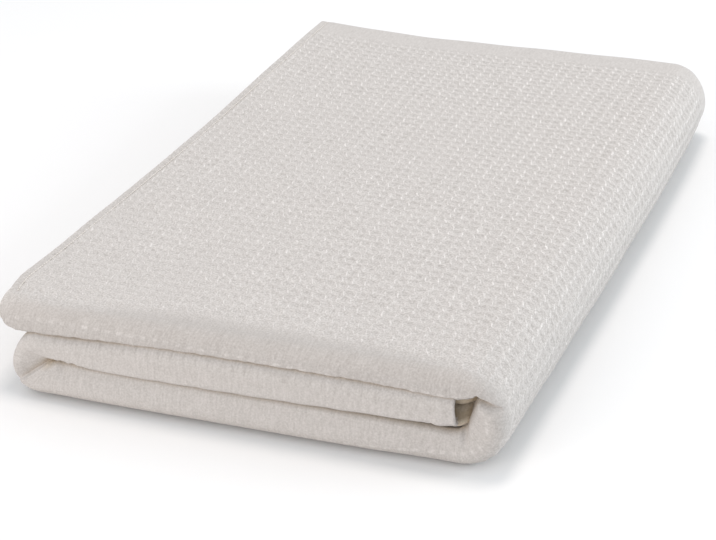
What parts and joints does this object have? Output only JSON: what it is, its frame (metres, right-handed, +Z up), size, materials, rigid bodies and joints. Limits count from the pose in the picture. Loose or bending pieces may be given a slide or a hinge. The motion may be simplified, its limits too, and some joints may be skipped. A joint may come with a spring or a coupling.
{
  "type": "folded bath towel",
  "caption": "Waffle-weave bath towel folded into a flat packet, with a full-height fold on one side and plain borders turned in at both ends.",
  "frame": {"origin": "on the floor under the middle of the folded packet", "axes": "+Z up, +Y along the folds towards the lifted corner, +X across the folds towards the full-height fold"},
  "size_m": [0.4267, 0.6731, 0.0841],
  "materials": {
    "cotton": "matt undyed waffle-weave cotton with plain-woven borders"
  },
  "bodies": {
    "root": {"towel": "cotton"}
  },
  "joints": []
}
